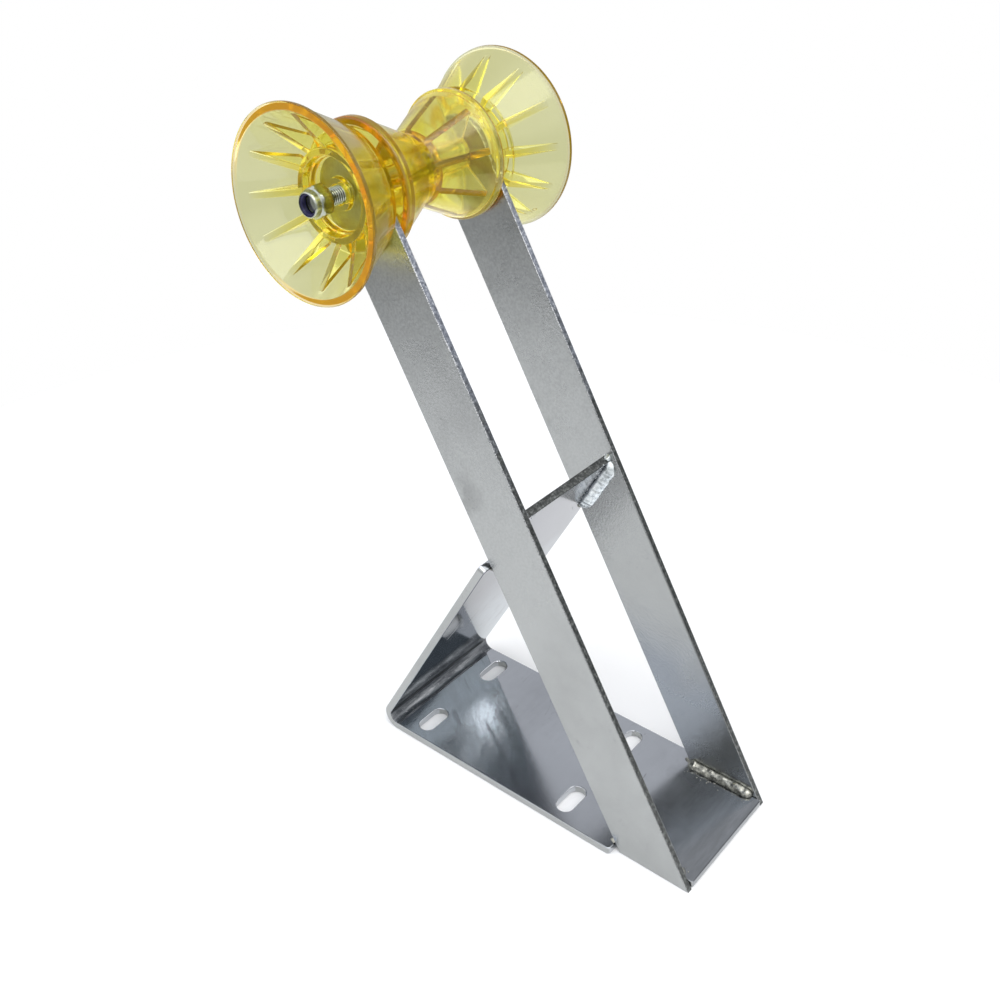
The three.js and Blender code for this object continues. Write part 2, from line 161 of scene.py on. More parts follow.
def galvanised(name, tint, rough, gloss, grain_scale, grain, grain_tone, streaks, painted_shading=None,
               dents=0.0):
    """Bright zinc on rolled steel: cloudy tone, leathery grain, fine streaks and a few scratches.

    Roughness runs from `rough` at the front to `gloss` at the back. The grain is `grain` metres
    deep, darkens the tone by up to `grain_tone`, and fades low down. `streaks` stretches the
    rolling lines. The shading argument is (axis, where full, where gone, tone): painted shade or
    a painted reflection, where a part shades into another tone. `dents` is how strongly short
    knocks from the forming press show.
    """
    m = Nodes(name)
    cloud = m.noise(9.0, 4.0, 0.55)
    blotch = m.noise(38.0, 4.0, 0.6)
    leather = m.noise(grain_scale, 3.0, 0.6)
    fine = m.noise(1500.0, 2.0, 0.6)
    lines = m.noise(150.0, 5.0, 0.7, m.stretched(streaks))
    dark = tuple(c * 0.84 for c in tint)
    lite = tuple(min(1.0, c * 1.08) for c in tint)
    base = m.ramp(cloud, [(0.32, dark), (0.52, tint), (0.74, lite)])
    base = m.mix(m.map(blotch, 0.55, 0.75, 0.0, 0.35), base, dark)
    place = m.axes()
    upper = m.map(place["Z"], 0.16, 0.34, 0.15, 1.0)
    grainy = m.math("MULTIPLY", m.map(leather, 0.38, 0.62, grain_tone, 0.0), upper)
    base = m.mix(grainy, base, tuple(c * 0.55 for c in tint))
    # painted shade or painted reflection: below a given value on one axis the part is painted in
    # another tone
    if painted_shading:
        axis, full, gone, tone = painted_shading
        low = m.math("ADD", place[axis], m.map(blotch, 0.3, 0.7, -0.012, 0.012))
        base = m.mix(m.map(low, full, gone, 1.0, 0.0), base, tone)
    # darker patches on the bars beside the shoulders of the brace
    dark_patch = m.add("VectorMath", {0: m.stretched((0.0, 1.0, 1.0)), 1: Vector((0, 14, 250)) * MM},
                operation="DISTANCE").outputs["Value"]
    dark_patch = m.math("MULTIPLY", m.map(dark_patch, 0.006, 0.022, 0.55, 0.0), m.map(blotch, 0.46, 0.58, 0, 1))
    base = m.mix(dark_patch, base, tuple(c * 0.6 for c in tint))
    base = m.mix(m.map(fine, 0.70, 0.78, 0.0, 0.35), base, tuple(c * 0.45 for c in tint))
    base = m.mix(m.map(lines, 0.42, 0.62, 0.0, 0.22), base, lite)
    # long thin scratches where a stretched noise crosses its middle value
    streak = m.noise(14.0, 4.0, 0.7, m.stretched((0.35, 2.4, 2.4)), 0.8)
    scratch = m.map(m.math("ABSOLUTE", m.math("SUBTRACT", streak, 0.5)), 0.0, 0.004, 0.6, 0.0)
    scratch = m.math("MULTIPLY", scratch, m.map(blotch, 0.52, 0.60, 0.0, 1.0))
    base = m.mix(scratch, base, tuple(c * 0.55 for c in tint))
    knock = m.noise(120.0, 1.0, 0.4, m.stretched((1.0, 0.30, 0.30)), 0.6)
    knock = m.math("MULTIPLY", m.map(knock, 0.66, 0.72, 0.0, 1.0), dents)
    base = m.mix(knock, base, tuple(c * 0.5 for c in tint))
    r = m.math("ADD", m.map(place["Y"], -0.07, 0.03, rough, gloss),
               m.map(cloud, 0.3, 0.7, -0.25 * gloss, 0.25 * gloss))
    r = m.math("ADD", r, m.map(fine, 0.3, 0.7, -0.01, 0.015))
    normal = m.bump(m.noise(13.0, 2.0, 0.4), 0.16, 0.0012)
    normal = m.bump(leather, 0.40, grain, normal)
    normal = m.bump(lines, 0.06, 0.0001, normal)
    normal = m.bump(knock, 0.2, 0.0003, normal)
    m.principled(Base_Color=base, Metallic=1.0, Roughness=r, Normal=normal)
    return m.mat


def sheared_edge(name):
    """The cut edges of the bars: darker, speckled and rougher than the faces, and painted lighter
    and bluer higher up as a painted reflection.
    """
    m = Nodes(name)
    speck = m.noise(420.0, 3.0, 0.75)
    patch = m.noise(70.0, 4.0, 0.6)
    height = m.axes()["Z"]
    dark = m.ramp(speck, [(0.36, (0.07, 0.072, 0.07)), (0.54, (0.13, 0.135, 0.13)),
                          (0.70, (0.30, 0.31, 0.30))])
    lite = m.ramp(speck, [(0.36, (0.17, 0.18, 0.21)), (0.54, (0.32, 0.34, 0.39)),
                          (0.68, (0.66, 0.68, 0.73))])
    # painted reflection: higher up, the edges are painted a lighter, bluer tone with a ragged
    # border
    upper = m.map(m.math("ADD", height, m.math("MULTIPLY", patch, 0.2)), 0.37, 0.47, 0.0, 1.0)
    base = m.mix(upper, dark, lite)
    normal = m.bump(speck, 0.5, 0.00025)
    m.principled(Base_Color=base, Metallic=1.0, Roughness=m.map(speck, 0.3, 0.7, 0.30, 0.52),
                 Normal=normal)
    return m.mat


def painted_corner_highlight(name):
    """The corners of the bars, with a painted highlight: bright, broken up into short dashes."""
    m = Nodes(name)
    dash = m.noise(1100.0, 2.0, 0.7)
    height = m.axes()["Z"]
    upper = m.map(height, 0.16, 0.34, 0.30, 1.0)
    base = m.ramp(dash, [(0.42, (0.16, 0.17, 0.18)), (0.52, (0.62, 0.63, 0.64)),
                         (0.62, (0.84, 0.84, 0.84))])
    # painted shade: low down the painted highlight gives way to a dark tone
    base = m.mix(upper, (0.20, 0.205, 0.20), base)
    m.principled(Base_Color=base, Metallic=1.0, Roughness=m.map(dash, 0.3, 0.7, 0.40, 0.22),
                 Normal=m.bump(dash, 0.4, 0.0002))
    return m.mat


def painted_bend_shade(name):
    """The inside of the bend, with painted shade: greyer and duller than the flat plate, with
    bright specks painted as glints.
    """
    m = Nodes(name)
    speck = m.noise(700.0, 3.0, 0.75)
    lines = m.noise(260.0, 4.0, 0.7, m.stretched((0.12, 1.0, 1.0)))
    base = m.ramp(lines, [(0.36, (0.10, 0.105, 0.115)), (0.52, (0.19, 0.20, 0.21)),
                          (0.66, (0.40, 0.41, 0.42))])
    base = m.mix(m.map(speck, 0.60, 0.70, 0.0, 0.7), base, (0.80, 0.81, 0.82))
    m.principled(Base_Color=base, Metallic=1.0, Roughness=m.map(speck, 0.3, 0.7, 0.30, 0.42),
                 Normal=m.bump(lines, 0.35, 0.0003))
    return m.mat


def weld_metal(name, low, mid, high):
    m = Nodes(name)
    blotch = m.noise(260.0, 4.0, 0.7)
    fine = m.noise(900.0, 3.0, 0.7)
    base = m.ramp(blotch, [(0.34, low), (0.50, mid), (0.64, high)])
    base = m.mix(m.map(fine, 0.58, 0.70, 0.0, 0.7), base, tuple(min(1.0, c * 1.3) for c in high))
    normal = m.bump(blotch, 0.4, 0.0005)
    normal = m.bump(fine, 0.3, 0.00015, normal)
    m.principled(Base_Color=base, Metallic=1.0, Roughness=m.map(fine, 0.3, 0.7, 0.24, 0.42),
                 Normal=normal)
    return m.mat


def zinc_plate(name):
    """Bright zinc on turned and pressed steel, with faint olive in the passivation."""
    m = Nodes(name)
    cloud = m.noise(160.0, 3.0, 0.6)
    lines = m.noise(900.0, 2.0, 0.6, m.stretched((4.0, 0.3, 0.3)))
    base = m.ramp(cloud, [(0.3, (0.30, 0.32, 0.24)), (0.6, (0.44, 0.46, 0.40)),
                          (0.8, (0.58, 0.59, 0.57))])
    normal = m.bump(lines, 0.12, 0.0001)
    m.principled(Base_Color=base, Metallic=1.0, Roughness=m.map(cloud, 0.3, 0.7, 0.09, 0.18),
                 Normal=normal)
    return m.mat


def thread_root(name):
    """The bottom of the thread, dark and dull."""
    m = Nodes(name)
    cloud = m.noise(900.0, 2.0, 0.6)
    base = m.ramp(cloud, [(0.35, (0.05, 0.055, 0.045)), (0.65, (0.16, 0.17, 0.14))])
    m.principled(Base_Color=base, Metallic=1.0, Roughness=m.map(cloud, 0.3, 0.7, 0.30, 0.45),
                 Normal=m.bump(cloud, 0.2, 0.0001))
    return m.mat


def nylon(name):
    m = Nodes(name)
    cloud = m.noise(300.0, 3.0, 0.6)
    base = m.ramp(cloud, [(0.3, (0.006, 0.005, 0.028)), (0.7, (0.022, 0.019, 0.095))])
    normal = m.bump(m.noise(900.0, 2.0), 0.2, 0.0001)
    m.principled(Base_Color=base, Roughness=m.map(cloud, 0.3, 0.7, 0.28, 0.42), Normal=normal)
    return m.mat


def polyurethane(name):
    """Clear amber moulding: pale where thin, yellow to orange where light has far to go, with a
    painted amber glow that is strongest at the rims.
    """
    m = Nodes(name)
    flow = m.noise(14.0, 3.0, 0.5)
    sink = m.noise(55.0, 2.0, 0.5)
    tint = m.ramp(flow, [(0.35, (0.86, 0.925, 0.91)), (0.65, (0.90, 0.96, 0.97))])
    normal = m.bump(sink, 0.10, 0.0006)
    normal = m.bump(m.noise(600.0, 2.0), 0.05, 0.00008, normal)
    # a small round ejector mark on the inside of each bell's wall
    folded = m.add("VectorMath", {0: m.position()}, operation="ABSOLUTE")
    reach, turn = 53.2, rad(-131)
    mark = AXIS + Vector((BELL_X + 33, reach * math.cos(turn), reach * math.sin(turn)))
    off = m.add("VectorMath", {0: folded, 1: mark * MM}, operation="DISTANCE").outputs["Value"]
    circle = m.map(m.math("ABSOLUTE", m.math("SUBTRACT", off, 0.0013)), 0.0, 0.0004, 1.0, 0.0)
    normal = m.bump(circle, 1.0, 0.0004, normal)
    tint = m.mix(m.math("MULTIPLY", circle, 0.8), tint, (0.40, 0.42, 0.30))
    # the outside of each bell's cone came out of the mould satin
    place = m.axes()
    across = m.math("ABSOLUTE", place["X"])
    dy = m.math("SUBTRACT", place["Y"], AXIS.y * MM)
    dz = m.math("SUBTRACT", place["Z"], AXIS.z * MM)
    radius = m.math("SQRT", m.math("ADD", m.math("MULTIPLY", dy, dy), m.math("MULTIPLY", dz, dz)))
    cone = m.math("MULTIPLY_ADD", across, BELL_SLOPE, (BELL_SMALL_R - BELL_X * BELL_SLOPE) * MM)
    satin = m.map(m.math("SUBTRACT", radius, cone), -0.0016, -0.0010, 0.0, 0.10)

    def band(value, start, full):
        """0 up to `start` and 1 from `full` on, both in millimetres."""
        return m.map(value, start * MM, full * MM, 0.0, 1.0)

    # painted glow: emission stands in for light carried along the walls and out at the rims,
    # least where a bell's rim faces back and down, and more on the left bell than on the right one
    mouth = BELL_X + BELL_LEN
    bell_rim = m.math("MULTIPLY", band(across, mouth - 0.6, mouth - 0.2),
                      band(radius, BELL_RIM_R - 5.8, BELL_RIM_R - 5.2))
    bell_rim = m.math("MULTIPLY", bell_rim, m.map(place["X"], -0.01, 0.01, 1.0, 0.12))
    facing = m.math("SUBTRACT", m.math("MULTIPLY", dy, 0.9), m.math("MULTIPLY", dz, 0.4))
    facing = m.map(m.math("DIVIDE", facing, radius), 0.66, 0.90, 1.0, 0.08)
    bell_rim = m.math("MULTIPLY", bell_rim, facing)
    lip = m.math("MULTIPLY", band(across, mouth - 2.8, mouth - 2.3),
                 band(radius, BELL_RIM_R - 1.2, BELL_RIM_R - 0.8))
    inboard = m.map(across, SPOOL_HALF * MM, (SPOOL_HALF + 0.3) * MM, 1.0, 0.0)
    spool_rim = m.math("MULTIPLY", inboard, band(radius, SPOOL_RIM_R - 4.1, SPOOL_RIM_R - 3.1))
    # painted glow: a faint amber emission on every surface, brighter and more orange at the rims,
    # dim at the bells' lips
    painted_glow = m.mix(m.math("MULTIPLY", spool_rim, 0.4), (0.150, 0.118, 0.006), (0.42, 0.25, 0.01))
    painted_glow = m.mix(bell_rim, painted_glow, (1.05, 0.46, 0.01))
    painted_glow = m.mix(lip, painted_glow, (0.03, 0.05, 0.01))
    polish = m.map(flow, 0.3, 0.7, 0.01, 0.035)
    m.principled(Base_Color=tint, Roughness=m.math("ADD", polish, satin), Normal=normal, IOR=1.47,
                 Transmission_Weight=1.0, Emission_Color=painted_glow, Emission_Strength=0.30)
    absorb = m.add("VolumeAbsorption", {"Color": (0.970, 0.875, 0.0, 1.0), "Density": 115.0})
    m.put(m.out.inputs["Volume"], absorb)
    return m.mat


# painted shade: the front of the plate, between the feet of the arms, is painted a darker tone
MAT_PLATE = galvanised("galvanised_plate", (0.55, 0.565, 0.59), 0.18, 0.065, 260.0, 0.00002,
                       0.10, (0.15, 1.0, 1.0), ("Y", -0.150, -0.110, (0.30, 0.31, 0.32)))
# painted shade: the brace's face is a darker copy of the plate's zinc, and its lower part is
# painted a paler, bluer tone as a painted reflection
MAT_BRACE_PAINTED_SHADE = galvanised("galvanised_brace_painted_shade", (0.21, 0.215, 0.235), 0.14, 0.065, 260.0, 0.00004,
                       0.16, (1.0, 0.25, 0.10), ("Z", 0.095, 0.165, (0.35, 0.39, 0.415)), 0.3)
MAT_ARM = galvanised("galvanised_bar", (0.40, 0.41, 0.405), 0.25, 0.28, 560.0, 0.00028,
                     0.42, (1.0, 0.2, 0.2))
MAT_EDGE = sheared_edge("bar_edge")
MAT_PAINTED_CORNER_HIGHLIGHT = painted_corner_highlight("bar_corner_painted_highlight")
MAT_BEND_PAINTED_SHADE = painted_bend_shade("bend_zinc_painted_shade")
MAT_WELD = weld_metal("weld_bead", (0.10, 0.10, 0.095), (0.27, 0.27, 0.24), (0.56, 0.55, 0.48))
MAT_WELD_WHITE = weld_metal("weld_bead_white", (0.34, 0.37, 0.38), (0.66, 0.70, 0.71),
                            (0.88, 0.91, 0.91))
MAT_ZINC = zinc_plate("zinc_plate")
MAT_ROOT = thread_root("thread_root")
MAT_NYLON = nylon("nylon_ring")
MAT_AMBER = polyurethane("amber_polyurethane")


# ---- mesh helpers ------------------------------------------------------------------------------
def linked(name, data):
    """A new object in the scene."""
    obj = bpy.data.objects.new(name, data)
    bpy.context.scene.collection.objects.link(obj)
    return obj


def evaluated(obj):
    """The object's mesh as the scene shows it."""
    dg = bpy.context.evaluated_depsgraph_get()
    return bpy.data.meshes.new_from_object(obj.evaluated_get(dg))


def new_object(name, mesh, materials, body, slot, *nodes, smooth=35, flats=()):
    """A finished piece, in millimetres on the way in and metres on the way out.

    Faces that look along one of the directions in `flats` stay truly flat.
    """
    mesh.transform(Matrix.Scale(MM, 4))
    mesh.name = name
    obj = linked(name, mesh)
    for m in materials:
        mesh.materials.append(m)
    mesh.shade_smooth()
    mesh.set_sharp_from_angle(angle=rad(smooth))
    for p in mesh.polygons:
        if any(abs(p.normal.dot(d)) > 0.99995 for d in flats):
            p.use_smooth = False
    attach(obj, body)
    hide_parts(*nodes)


def flat_blank(outlines, thickness, edge):
    """Plate cut to one or more closed outlines in XY, thickness about z = 0, edges rounded."""
    curve = bpy.data.curves.new("blank", "CURVE")
    curve.dimensions = "2D"
    curve.fill_mode = "BOTH"
    curve.extrude = thickness / 2 - edge
    curve.bevel_depth = edge
    curve.bevel_resolution = 2
    curve.offset = -edge
    for outline in outlines:
        s = curve.splines.new("POLY")
        s.points.add(len(outline) - 1)
        for p, (x, y) in zip(s.points, outline):
            p.co = (x, y, 0, 1)
        s.use_cyclic_u = True
    obj = linked("blank", curve)
    mesh = evaluated(obj)
    bpy.data.objects.remove(obj)
    bm = bmesh.new()
    bm.from_mesh(mesh)
    bmesh.ops.remove_doubles(bm, verts=bm.verts, dist=1e-4)
    bpy.data.meshes.remove(mesh)
    return bm


def cut_across(bm, axis, positions):
    """Adds edges where planes square to an axis cross the mesh."""
    normal = Vector([1.0 if i == axis else 0.0 for i in range(3)])
    for p in positions:
        geom = bm.verts[:] + bm.edges[:] + bm.faces[:]
        bmesh.ops.bisect_plane(bm, geom=geom, plane_co=normal * p, plane_no=normal, dist=1e-4)


def to_mesh(bm, name):
    """Turns the bmesh into a mesh that faces outward, and frees it."""
    bmesh.ops.recalc_face_normals(bm, faces=bm.faces)
    mesh = bpy.data.meshes.new(name)
    bm.to_mesh(mesh)
    bm.free()
    return mesh


def arc(cx, cy, r, a0, a1, n):
    """Points of an arc from a0 to a1 degrees, in n steps."""
    return [(cx + r * math.cos(rad(a0 + (a1 - a0) * i / n)),
             cy + r * math.sin(rad(a0 + (a1 - a0) * i / n))) for i in range(n + 1)]


def rounded(points, steps=5):
    """A closed polygon of (x, y, corner radius) with its corners turned into arcs."""
    out = []
    for i, (x, y, r) in enumerate(points):
        p = Vector((x, y))
        a = Vector(points[i - 1][:2]) - p
        b = Vector(points[(i + 1) % len(points)][:2]) - p
        half = a.angle(b) / 2
        back = min(r / math.tan(half), a.length * 0.49, b.length * 0.49)
        rr = back * math.tan(half)
        centre = p + (a.normalized() + b.normalized()).normalized() * (rr / math.sin(half))
        va, vb = p + a.normalized() * back - centre, p + b.normalized() * back - centre
        total = va.angle(vb)
        turn = 1 if va.cross(vb) > 0 else -1
        for k in range(steps + 1):
            t = turn * total * k / steps
            c, s = math.cos(t), math.sin(t)
            out.append((centre.x + va.x * c - va.y * s, centre.y + va.x * s + va.y * c))
    return out


def ring(bm, x, radius, count):
    """Points about the X axis at x. `radius` is a number or a function of the angle."""
    points = []
    for k in range(count):
        a = 2 * math.pi * k / count
        r = radius(a) if callable(radius) else radius
        points.append(bm.verts.new((x, r * math.cos(a), r * math.sin(a))))
    return points


def skin(bm, rings, closed=False):
    """Quads from each ring to the next and, if closed, from the last ring to the first."""
    count = len(rings[0])
    for a, b in zip(rings, rings[1:] + (rings[:1] if closed else [])):
        for k in range(count):
            bm.faces.new((a[k], a[(k + 1) % count], b[(k + 1) % count], b[k]))


# ---- bent plate --------------------------------------------------------------------------------
def bent_plate():
    tangent = BEND_R / math.tan(rad(BRACE_DEG / 2))
    bend_y = HEEL_Y - tangent
    mid_r = BEND_R - PLATE_T / 2
    turn = rad(180 - BRACE_DEG)
    flat = bend_y - FOOT_Y
    bend = mid_r * turn
    total = flat + bend + BRACE_LEN - tangent
    s0 = HEEL_Y - BASE_SHOULDER - FOOT_Y
    s1 = flat + bend + BRACE_SHOULDER - tangent
    e, t = PLATE_W / 2, ARM_IN_X - 0.3
    right = [(t, 0, 1.5), (t, s0, 1.0), (e, s0, SHOULDER_R), (e, s1, SHOULDER_R), (t, s1, 1.0),
             (t, total, 1.5)]
    outline = rounded(right + [(-x, y, r) for x, y, r in reversed(right)])
    slots = []
    h = (SLOT_LEN - SLOT_W) / 2
    for x in (-SLOT_X, SLOT_X):
        for y in (-SLOT_Y, SLOT_Y):
            s = y - FOOT_Y
            slots.append(arc(x + h, s, SLOT_W / 2, -90, 90, 20)
                         + arc(x - h, s, SLOT_W / 2, 90, 270, 20))
    top_of_bend = Vector((0, bend_y, BEND_R)) - BRACE_IN * BEND_R
    bm = flat_blank([outline] + slots, PLATE_T, 0.9)
    cut_across(bm, 1, [flat + bend * i / 24 for i in range(25)])
    cut_across(bm, 1, [12 + 24 * i for i in range(9)])
    cut_across(bm, 1, [flat + bend + 22 * i for i in range(1, 12)])
    cut_across(bm, 0, [-40, -20, 0, 20, 40])
    for v in bm.verts:
        x, s, w = v.co
        if s <= flat:
            v.co = (x, FOOT_Y + s, PLATE_T / 2 + w)
            continue
        a = min((s - flat) / mid_r, turn)
        rho = mid_r - w
        run = max(0.0, s - flat - bend)
        v.co = Vector((x, bend_y + rho * math.sin(a), BEND_R - rho * math.cos(a))) + BRACE_DIR * run
    bmesh.ops.recalc_face_normals(bm, faces=bm.faces)
    bm.normal_update()
    for f in bm.faces:
        c = f.calc_center_median()
        up = c - Vector((0, HEEL_Y, 0))
        away = math.hypot(c.y - bend_y, c.z - BEND_R)
        # the inside of the bend gets the painted bend shade
        if away < BEND_R - PLATE_T + 0.6 and c.y > bend_y and (c - top_of_bend).dot(BRACE_DIR) < 0:
            f.material_index = 1
        elif up.dot(BRACE_DIR) > BRACE_LEN - 0.5:
            f.material_index = 2
        # the brace's inner face gets the darker brace zinc, a painted shade
        elif up.dot(BRACE_IN) > PLATE_T - 0.3 and c.z > BEND_R:
            f.material_index = 3
        elif abs(f.normal.x) > 0.7:
            f.material_index = 4
    return new_object("bent_plate", to_mesh(bm, "bent_plate"),
                      [MAT_PLATE, MAT_BEND_PAINTED_SHADE, MAT_EDGE, MAT_BRACE_PAINTED_SHADE, MAT_ARM], "bracket",
                      "galvanised", "base_plate", smooth=28,
                      flats=(Vector((0, 0, 1)), BRACE_IN, Vector((1, 0, 0))))


# ---- arms --------------------------------------------------------------------------------------
def arm(side, label):
    half = ARM_W / 2
    foot = ARM_W / math.tan(rad(ARM_DEG))
    # (s, n): along the arm and from its front edge to its back edge
    outline = [(0.0, 0.0), (foot, ARM_W)]
    outline += [(ARM_PIVOT + half * math.cos(rad(a)), half + half * math.sin(rad(a)))
                for a in range(90, -91, -5)]
    hole = arc(ARM_PIVOT, half, HOLE_R, 0, 350, 35)
    bm = flat_blank([outline, hole], ARM_T, 0.6)
    cut_across(bm, 0, [40 * i for i in range(1, 14)])
    cut_across(bm, 1, [12.5, 25.0, 37.5])
    for v in bm.verts:
        s, n, w = v.co
        p = Vector((0, FOOT_Y, 0)) + ARM_DIR * s + ARM_BACK * n
        v.co = (side * (ARM_IN_X + ARM_T / 2) + w, p.y, p.z)
    bmesh.ops.recalc_face_normals(bm, faces=bm.faces)
    bm.normal_update()
    for f in bm.faces:
        tilt = abs(f.normal.x)
        # the bevels between faces and edges get the painted corner highlight
        f.material_index = 1 if tilt < 0.25 else (2 if tilt < 0.99 else 0)
    return new_object(f"arm_bar_{label}", to_mesh(bm, "arm"), [MAT_ARM, MAT_EDGE, MAT_PAINTED_CORNER_HIGHLIGHT],
                      "bracket", "galvanised", f"arm_{label}", smooth=28,
                      flats=(Vector((1, 0, 0)), ARM_BACK))


# ---- welds -------------------------------------------------------------------------------------
def bead(bm, start, end, a, b, legs, ripples, seed):
    """A fillet bead in the corner where faces along a and b meet, laid as overlapping scales."""
    start, end, a, b = Vector(start), Vector(end), Vector(a), Vector(b)
    along = (end - start).normalized()
    rows, around = ripples * 8, 20
    grid = []
    for i in range(rows + 1):
        t = i / rows
        near = min(t, 1 - t) * (end - start).length / max(legs)
        ends = math.sqrt(max(0.0, 1 - (1 - near) ** 2)) if near < 1 else 1.0
        scale = (t * ripples) % 1.0
        swell = 1 + 0.03 * math.sin(math.pi * scale)
        swell += 0.08 * noise.noise((t * ripples * 0.5, seed, 0.3))
        c = start.lerp(end, t)
        row = []
        for k in range(around):
            w = 2 * math.pi * k / around
            # a full rounded quarter whose square corner sits in the joint
            pu, pv = 0.42 + 0.62 * math.cos(w), 0.42 + 0.62 * math.sin(w)
            if pu + pv > 1.2:
                f = 1.2 / (pu + pv)
                pu, pv = pu * (0.35 + 0.65 * f), pv * (0.35 + 0.65 * f)
            pu, pv = max(pu, -0.03), max(pv, -0.03)
            size = swell * max(ends, 0.02)
            q = c + a * (pu * size * legs[0]) + b * (pv * size * legs[1])
            q -= along * (0.5 * legs[0] * (pu + pv - 1.0) * ends)
            q += (a + b) * (0.40 * noise.noise(q * 0.22 + Vector((seed, 0, 0))))
            q += (a + b) * (0.10 * noise.noise(q * 0.9 + Vector((0, seed, 0))))
            row.append(bm.verts.new(q))
        grid.append(row)
    skin(bm, grid)
    bm.faces.new(grid[0])
    bm.faces.new(grid[-1])


def spatter(bm, start, end, side, reach, count, seed):
    """Small drops frozen on the plate beside a bead."""
    rng = random.Random(seed)
    start, end, side = Vector(start), Vector(end), Vector(side)
    for _ in range(count):
        r = rng.uniform(0.22, 0.55)
        p = start.lerp(end, rng.uniform(0.0, 1.05))
        p += side * (reach * (0.75 + 0.9 * rng.random() ** 2))
        bmesh.ops.create_icosphere(bm, subdivisions=1, radius=r, matrix=Matrix.Translation(p))


def weld(name, bm, node, material):
    new_object(name, to_mesh(bm, name), [material], "bracket", "weld", node, smooth=60)


def on_brace(l, lift):
    return Vector((0, HEEL_Y, 0)) + BRACE_DIR * l + BRACE_IN * lift


def welds():
    for side, label in ((-1, "left"), (1, "right")):
        x = side * ARM_IN_X
        into = Vector((-side, 0, 0))
        up = Vector((0, 0, 1))
        front = Vector((x, FOOT_Y + 7, PLATE_T))
        back = Vector((x, FOOT_Y + 62, PLATE_T))
        bm = bmesh.new()
        bead(bm, front, back, into, up, (6.0, 5.6), 7, 3.1 + side)
        bead(bm, back - Vector((0, 9, 0)), back + Vector((0, 1, 0)), into, up, (7.0, 6.4), 2, 5.0)
        spatter(bm, front, back, into, 7.0, 34, 20 + side)
        weld(f"foot_bead_{label}", bm, f"weld_foot_{label}", MAT_WELD)

        low, high = on_brace(233.5, PLATE_T), on_brace(286, PLATE_T)
        low.x = high.x = x
        bm = bmesh.new()
        bead(bm, low, high, into, BRACE_IN, (5.0, 8.4), 12, 7.7 + side)
        spatter(bm, low, high, into, 8.0, 30, 30 + side)
        top, under = on_brace(286.6, PLATE_T), on_brace(286.6, 0.0)
        top.x = under.x = x
        bead(bm, top, under, into, BRACE_DIR, (5.0, 4.0), 3, 9.0 + side)
        weld(f"brace_bead_{label}", bm, f"weld_brace_{label}", MAT_WELD_WHITE)

        outer = side * (ARM_IN_X + ARM_T + 0.4)
        y = HEEL_Y - BASE_SHOULDER + 1.7
        bm = bmesh.new()
        bead(bm, (x, y, PLATE_T - 1.5), (outer, y, PLATE_T - 1.5), (0, 1, 0.2), (0, -0.5, 1),
             (4.2, 4.2), 2, 11.0 + side)
        weld(f"base_tack_{label}", bm, f"tack_base_{label}", MAT_WELD)
        heel = on_brace(BRACE_SHOULDER - 0.5, PLATE_T - 1.5)
        bm = bmesh.new()
        bead(bm, (x, heel.y, heel.z), (outer, heel.y, heel.z), -BRACE_DIR, BRACE_IN, (4.2, 4.2), 2,
             15.0 + side)
        weld(f"brace_tack_{label}", bm, f"tack_brace_{label}", MAT_WELD)


# ---- rollers -----------------------------------------------------------------------------------
def lathe(bm, profile, segments):
    """Revolves a closed (x, r) outline about X."""
    skin(bm, [ring(bm, x, r, segments) for x, r in profile], closed=True)


def rib_mesh(outline, count, width, phase, edge=0.7):
    """Radial ribs with eased edges, set out round the X axis."""
    bm = bmesh.new()
    for i in range(count):
        blank = flat_blank([outline], width, edge)
        blank.transform(Matrix.Rotation(rad(phase + 360 / count * i), 4, "X"))
        rib = to_mesh(blank, "rib")
        bm.from_mesh(rib)
        bpy.data.meshes.remove(rib)
    return to_mesh(bm, "ribs")


def union(body_mesh, tool_meshes, name):
    """One closed body from several, by an exact boolean."""
    obj = linked(name, body_mesh)
    tools = [linked("tool", mesh) for mesh in tool_meshes]
    for tool in tools:
        mod = obj.modifiers.new("union", "BOOLEAN")
        mod.operation, mod.solver, mod.object = "UNION", "EXACT", tool
    mesh = evaluated(obj)
    for used in (obj, *tools):
        bpy.data.objects.remove(used)
    bm = bmesh.new()
    bm.from_mesh(mesh)
    bmesh.ops.remove_doubles(bm, verts=bm.verts, dist=1e-3)
    bmesh.ops.dissolve_degenerate(bm, edges=bm.edges, dist=1e-4)
    bm.to_mesh(mesh)
    bm.free()
    return mesh


